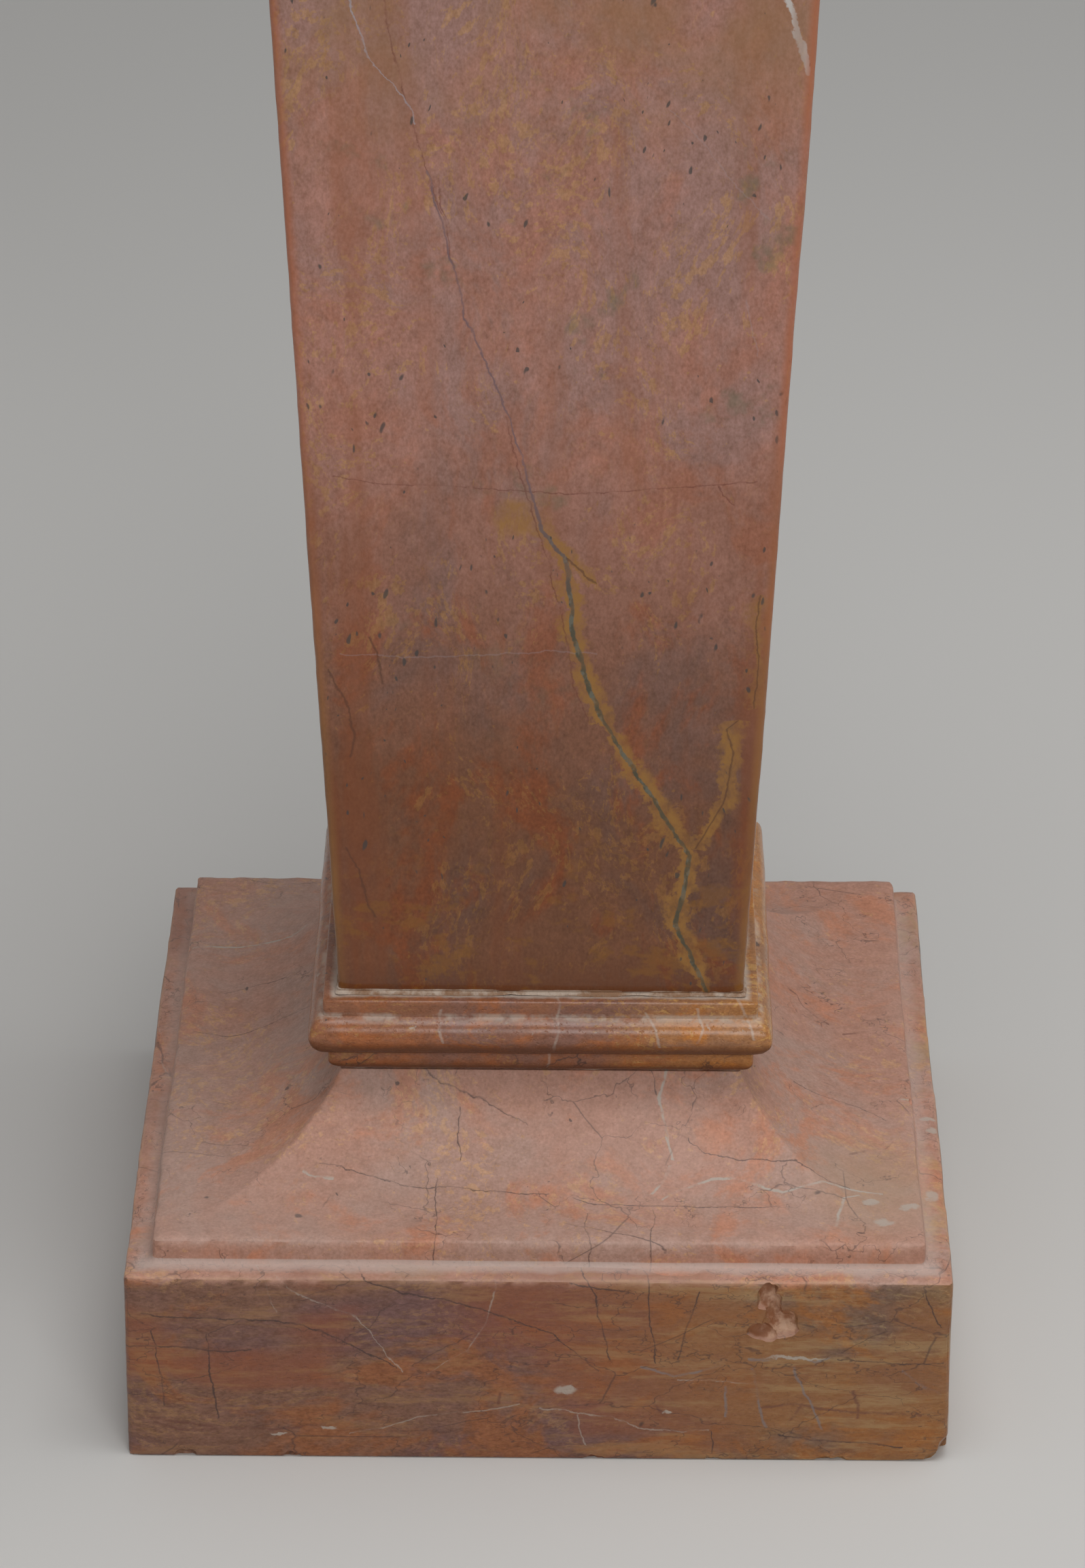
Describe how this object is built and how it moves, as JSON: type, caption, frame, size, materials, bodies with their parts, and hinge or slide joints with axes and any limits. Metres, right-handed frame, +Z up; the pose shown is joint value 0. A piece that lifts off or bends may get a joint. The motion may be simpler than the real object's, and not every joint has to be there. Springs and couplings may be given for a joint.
{
  "type": "marble pedestal column",
  "caption": "Square marble column that widens upward, on a moulded foot stone and a swept square plinth, with a moulded head and a flat square cap.",
  "frame": {"origin": "middle of the plinth's underside, on the surface that it stands on", "axes": "+Z up the column's axis, +X to the right of the front face, which looks along -Y"},
  "size_m": [0.45, 0.45, 1.19],
  "materials": {
    "plinth_marble": "honed, dusty, chipped",
    "moulding_marble": "polished",
    "shaft_marble": "polished, slightly dusty",
    "plaster": "matte"
  },
  "bodies": {
    "root": {"plinth_block": "plinth_marble", "plinth_joint": "plaster", "foot_moulding": "moulding_marble", "foot_joint": "plaster", "shaft": "shaft_marble", "head_joint": "plaster", "head_moulding": "moulding_marble", "cap_joint": "plaster", "cap_block": "plinth_marble"}
  },
  "joints": []
}
